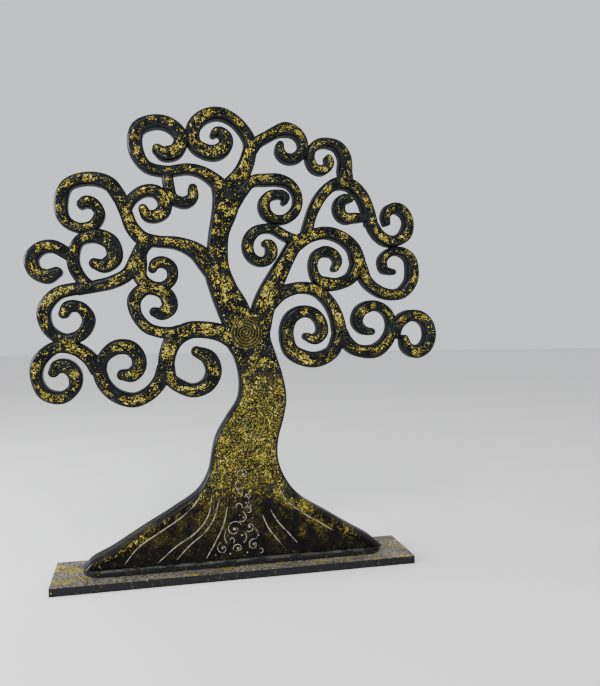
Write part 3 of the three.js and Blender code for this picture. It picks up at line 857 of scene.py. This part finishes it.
def rubbed(paint, crown, lay, place, amount, fine):
    """Where the gold rub shows: short streaks that follow the arm, thicker in wide patches, and
    kept to the crown of the carving."""
    streaks = paint.noise(paint.stretched(lay, (0.75, 1.7, 1.0)), fine, 2.6, 0.58, 1.8)
    moved = paint.stretched(place, shift=(0.31, 0.12, 0.07))
    slant = paint.noise(moved, fine * 0.8, 2.4, 0.6, 2.6)
    patches = paint.noise(place, 58.0, 2.5, 0.55, 0.6)
    level = RUB_LEVEL - amount - RICH_PATCH * paint.step(patches, 0.38, 0.64)
    ragged = paint.step(crown + (slant - 0.5) * 0.9, 0.40, 0.78)
    mottle = streaks.most(slant * 0.985)
    return paint.step(mottle - level, 0.0, 0.022) * ragged


def gold_colour(paint, place):
    """Leaf colours: mostly yellow gold, with paler and coppery touches."""
    tone = paint.noise(place, 260.0, 2.0, 0.6, 0.4)
    colour = paint.mix(paint.step(tone, 0.46, 0.66), GOLD, PALE_GOLD)
    warm = paint.noise(paint.stretched(place, shift=(0.5, 0.2, 0.9)), 120.0, 2.0, 0.6, 0.5)
    return paint.mix(paint.step(warm, 0.60, 0.72), colour, COPPER)


def root_rub(paint, place, mask, gold, crown):
    """The rub on the trunk: fine powder above the roots, warm dust on the flutes, mostly to the
    right, gold on the rim, and a bare dusty medallion with clean grooves."""
    roots, disc = paint.mark("roots"), paint.mark("disc")
    low = paint.part(place, "Z")
    dust = paint.noise(place, 640.0, 2.0, 0.7, 0.8)
    dusty = paint.step(low, 0.32, 0.25) * paint.step(low, 0.10, 0.16)
    powder = paint.step(dust, 0.56, 0.64) * dusty * paint.step(crown, 0.3, 0.8)
    mask = mask.most(powder * 0.75)
    warm_side = 0.16 + 0.42 * paint.step(paint.part(place, "X"), 0.02, 0.08)
    flutes = paint.step(paint.noise(place, 36.0, 2.0), 0.44, 0.62) * paint.step(dust, 0.53, 0.62)
    mask = mask * (1 - 0.93 * roots) + flutes * roots * warm_side * paint.step(low, 0.022, 0.09)
    mask = mask.most(paint.mark("rim") * gold * 0.8)
    mask = mask.most(disc * paint.step(dust, 0.46, 0.56) * 0.25)
    return mask * (1 - 0.98 * paint.mark("groove")) * (1 - 0.45 * disc)


def painted_wood(name, amount, fine=245.0, carved_roots=False):
    """Black paint over carved wood, brushed, with the gold rub on the crown of the carving. The
    coat is a painted sheen laid by the way the surface faces: it shows on the shoulders, where the
    surface turns away from the front, and little on the flat front and the walls, which stay dark."""
    paint = Paint(name)
    place, lay = paint.place(), paint.lay()
    crown, behind = paint.mark("crown"), paint.mark("behind")
    # Black paint with random patches of painted reflection, a blue-grey sheen of the sky.
    ink_and_sheen = paint.mix(paint.step(paint.noise(place, 55.0, 3.0), 0.42, 0.66), INK, SLATE_SKY_SHEEN)
    gold = rubbed(paint, crown, lay, place, amount, fine)
    mask = gold.most(rubbed(paint, behind, lay, place, amount - BACK_THINNING, fine))
    if carved_roots:
        mask = root_rub(paint, place, mask, gold, crown)
        ink_and_sheen = paint.mix(0.85 * paint.mark("roots"), ink_and_sheen, ROOT_INK)
    # Painted sheen: the coat is laid by the way the surface faces. It is strongest on the shoulders
    # and weak on the flat front and the side walls, so the shoulders shine and the walls stay dark.
    # The paint's own reflection is nearly off (IOR 1.06).
    forwards = 0 - paint.part(paint.normal(), "Y")
    shoulders = paint.step(forwards, 0.15, 0.5) * (1 - paint.step(forwards, 0.80, 0.97))
    shoulder_sheen = 0.06 + 0.16 * shoulders
    brushed = paint.noise(paint.stretched(lay, (0.35, 2.4, 1.0)), 420.0, 2.0, 0.6)
    grain = paint.noise(place, 900.0, 2.0, 0.6)
    height = 0.55 * mask + 0.30 * brushed + 0.15 * grain
    return paint.finish(Base_Color=paint.mix(mask, ink_and_sheen, gold_colour(paint, place)),
                        Roughness=0.34 + 0.16 * paint.noise(place, 140.0, 2.0) + 0.10 * mask,
                        Metallic=0.5 * mask, Normal=paint.bump(height, 0.45 * MM, 0.55),
                        IOR=1.06, Coat_Weight=shoulder_sheen * (1 - mask), Coat_Roughness=0.22)


def carving_finish():
    """Raised lines: black paint rubbed through to a dull silvery gold on their tops."""
    paint = Paint("rubbed_carving_lines")
    place = paint.place()
    worn = paint.step(paint.noise(place, 150.0, 3.0, 0.6, 0.5), 0.36, 0.56)
    tone = paint.mix(paint.noise(place, 90.0, 2.0), (0.27, 0.25, 0.21), (0.38, 0.34, 0.24))
    colour = paint.mix(worn, (0.035, 0.033, 0.033), tone)
    return paint.finish(Base_Color=colour, Roughness=0.36 + 0.12 * worn, Metallic=0.45 * worn,
                        Normal=paint.bump(paint.noise(place, 700.0, 2.0), 0.2 * MM, 0.5))


def board_finish():
    """Base board: black edges, and a top dusted with sandy gold that thickens into streaks."""
    paint = Paint("dusted_base_board")
    place = paint.place()
    up = paint.step(paint.part(paint.normal(), "Z"), 0.55, 0.85)
    sand = paint.step(paint.noise(place, 520.0, 3.0, 0.75, 0.6), 0.47, 0.58)
    drift = paint.step(paint.noise(paint.stretched(place, (0.45, 1.6, 1.0)), 26.0), 0.40, 0.62)
    left_end = paint.step(0 - paint.part(place, "X"), 0.11, 0.20)
    flakes = paint.noise(paint.stretched(place, (0.5, 1.5, 1.0), (0.2, 0.4, 0.0)), 34.0, 2.5)
    leaf = paint.step(flakes + 0.07 * left_end, 0.58, 0.68)
    dust = up * sand * (0.6 + 0.4 * drift)
    nicks = paint.step(paint.noise(place, 210.0, 3.0, 0.6, 1.4), 0.66, 0.72)
    tone = paint.mix(leaf, (0.38, 0.345, 0.25), (0.66, 0.52, 0.06))
    colour = paint.mix(dust.most(0.8 * nicks * (1 - up)), (0.011, 0.0115, 0.013), tone)
    height = 0.6 * dust + 0.4 * paint.noise(place, 500.0, 2.0)
    return paint.finish(Base_Color=colour, Roughness=0.42 + 0.2 * dust, Metallic=0.35 * dust,
                        IOR=1.2, Normal=paint.bump(height, 0.4 * MM, 0.6))


def rail_finish():
    """Foot rail: black paint with gold flecks, and a painted highlight: a broken silvery line along
    the upper front edge.
    """
    paint = Paint("foot_rail_painted_highlight")
    place = paint.place()
    # Painted highlight: a silvery band at the top of the rail, broken into dashes, where its edge
    # catches the light.
    arris_highlight = paint.step(paint.part(place, "Z"), 17.8 * MM, 20.6 * MM)
    highlight_breaks = paint.noise(paint.stretched(place, (0.4, 1.0, 1.0)), 130.0, 3.0, 0.6, 0.8)
    flecks = paint.step(paint.noise(place, 380.0, 3.0, 0.6, 1.4), 0.64, 0.70)
    mask = (arris_highlight * paint.step(highlight_breaks, 0.42, 0.60) * 0.30).most(flecks * 0.6)
    colour = paint.mix(mask, (0.010, 0.011, 0.013), paint.mix(flecks, HIGHLIGHT_SILVER, GOLD))
    brushed = paint.noise(paint.stretched(place, (0.3, 1.5, 1.5)), 260.0, 2.0)
    height = 0.5 * mask + 0.5 * brushed
    return paint.finish(Base_Color=colour, Roughness=0.40 + 0.12 * mask, Metallic=0.5 * mask,
                        IOR=1.2, Normal=paint.bump(height, 0.4 * MM, 0.5))


def beech_finish():
    """Dowels: bare beech, with long soft rays and small dark flecks."""
    paint = Paint("bare_beech")
    place = paint.place()
    rays = paint.noise(paint.stretched(place, (1.0, 1.0, 0.2)), 420.0, 4.0, 0.6)
    flecks = paint.step(paint.noise(place, 900.0, 2.0), 0.60, 0.70)
    colour = paint.mix(rays, (0.48, 0.31, 0.17), (0.66, 0.47, 0.29))
    colour = paint.mix(0.5 * flecks, colour, (0.30, 0.17, 0.09))
    return paint.finish(Base_Color=colour, Roughness=0.62 + 0.1 * rays,
                        Normal=paint.bump(rays, 0.2 * MM, 0.4))


def zinc_finish():
    """Screws: plated steel, cloudy, with fine turning marks round the shank."""
    paint = Paint("plated_steel")
    place = paint.place()
    cloud = paint.noise(place, 300.0)
    rings = paint.noise(paint.stretched(place, (0.1, 0.1, 6.0)), 900.0, 1.0)
    colour = paint.mix(cloud, (0.50, 0.51, 0.54), (0.68, 0.68, 0.66))
    return paint.finish(Base_Color=colour, Roughness=0.26 + 0.16 * cloud, Metallic=1.0,
                        Normal=paint.bump(rings, 0.1 * MM, 0.3))


def floor_finish():
    """Pale matt paper, with a faint tooth."""
    paint = Paint("pale_floor")
    place = paint.place()
    tone = paint.mix(paint.noise(place, 3.0, 2.0), (0.76, 0.75, 0.735), (0.80, 0.79, 0.775))
    return paint.finish(Base_Color=tone, Roughness=0.72 + 0.05 * paint.noise(place, 9.0),
                        Normal=paint.bump(paint.noise(place, 800.0), 0.2 * MM, 0.2))


# ------------------------------------------------------------------ the ornament
limb_paint = painted_wood("gold_rubbed_limbs", 0.055)
scroll_paint = painted_wood("gold_rubbed_scrolls", 0.045)
trunk_paint = painted_wood("gold_rubbed_trunk", 0.030, 230.0, carved_roots=True)

for number, (limb, guides) in enumerate(LIMBS.items()):
    planed = LIMB_PLANING * (number + 1)
    ribbon(limb, HIDDEN_STARTS.get(limb, []) + guides, False, limb_paint, planed)
for number, (scroll, shape) in enumerate(SCROLLS.items()):
    planed = SCROLL_PLANING * (number + 1) + FIRST_SCROLL_PLANING
    ribbon(scroll, curl_guides(shape), True, scroll_paint, planed)
trunk_piece(trunk_paint)
root_carving(carving_finish())
eased_board("base_board", BOARD_EASE, board_finish())
eased_board("foot_rail", RAIL_EASE, rail_finish())

fastenings = {"dowel": beech_finish(), "screw": zinc_finish()}
for node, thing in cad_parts.items():
    kind = node.split("_")[0]
    if kind in fastenings:
        for slot in thing.material_slots:
            slot.material = fastenings[kind]

# ------------------------------------------------------------------ stage, light, camera, in metres
FLOOR_HALF = 6.0
SKY_COLOUR, SKY_STRENGTH = (0.93, 0.95, 1.0, 1.0), 0.95
EYE = (-0.1382, -0.9858, 0.3854)
HEADING, DIP = math.radians(13.42), math.radians(2.3)
SENSOR_WIDTH, LENS = 36.0, 34.2     # millimetres

floor_corners = [(side * FLOOR_HALF, end * FLOOR_HALF, 0)
                 for side, end in ((-1, -1), (1, -1), (1, 1), (-1, 1))]
floor_mesh = bpy.data.meshes.new("floor")
floor_mesh.from_pydata(floor_corners, [], [(0, 1, 2, 3)])
floor_mesh.materials.append(floor_finish())
floor = bpy.data.objects.new("floor", floor_mesh)
bpy.context.scene.collection.objects.link(floor)

world = bpy.data.worlds.new("studio")
world.use_nodes = True
sky = world.node_tree.nodes["Background"]
sky.inputs["Color"].default_value = SKY_COLOUR
sky.inputs["Strength"].default_value = SKY_STRENGTH
bpy.context.scene.world = world


def soft_light(name, place, target, size, power, colour):
    """A square soft box at a place, turned to face a target."""
    data = bpy.data.lights.new(name, "AREA")
    data.size = size
    data.energy = power
    data.color = colour
    light = bpy.data.objects.new(name, data)
    light.location = place
    light.rotation_euler = (Vector(target) - Vector(place)).to_track_quat("-Z", "Y").to_euler()
    bpy.context.scene.collection.objects.link(light)


soft_light("window_left", place=(-1.7, 0.1, 0.8), target=(0, 0, 0.4), size=0.9, power=62,
           colour=(0.92, 0.96, 1.0))
soft_light("front_above", place=(-0.7, -1.6, 1.9), target=(0, 0, 0.35), size=0.9, power=46,
           colour=(1.0, 0.98, 0.95))
soft_light("fill_right", place=(1.6, -0.9, 0.9), target=(0, 0, 0.4), size=1.3, power=8,
           colour=(1.0, 0.97, 0.93))

look = Vector((math.sin(HEADING) * math.cos(DIP), math.cos(HEADING) * math.cos(DIP),
               -math.sin(DIP)))
camera_data = bpy.data.cameras.new("camera")
camera_data.sensor_width = SENSOR_WIDTH
camera_data.lens = LENS
camera_data.clip_start = 0.01
camera = bpy.data.objects.new("camera", camera_data)
camera.location = EYE
camera.rotation_euler = look.to_track_quat("-Z", "Y").to_euler()
bpy.context.scene.collection.objects.link(camera)
bpy.context.scene.camera = camera
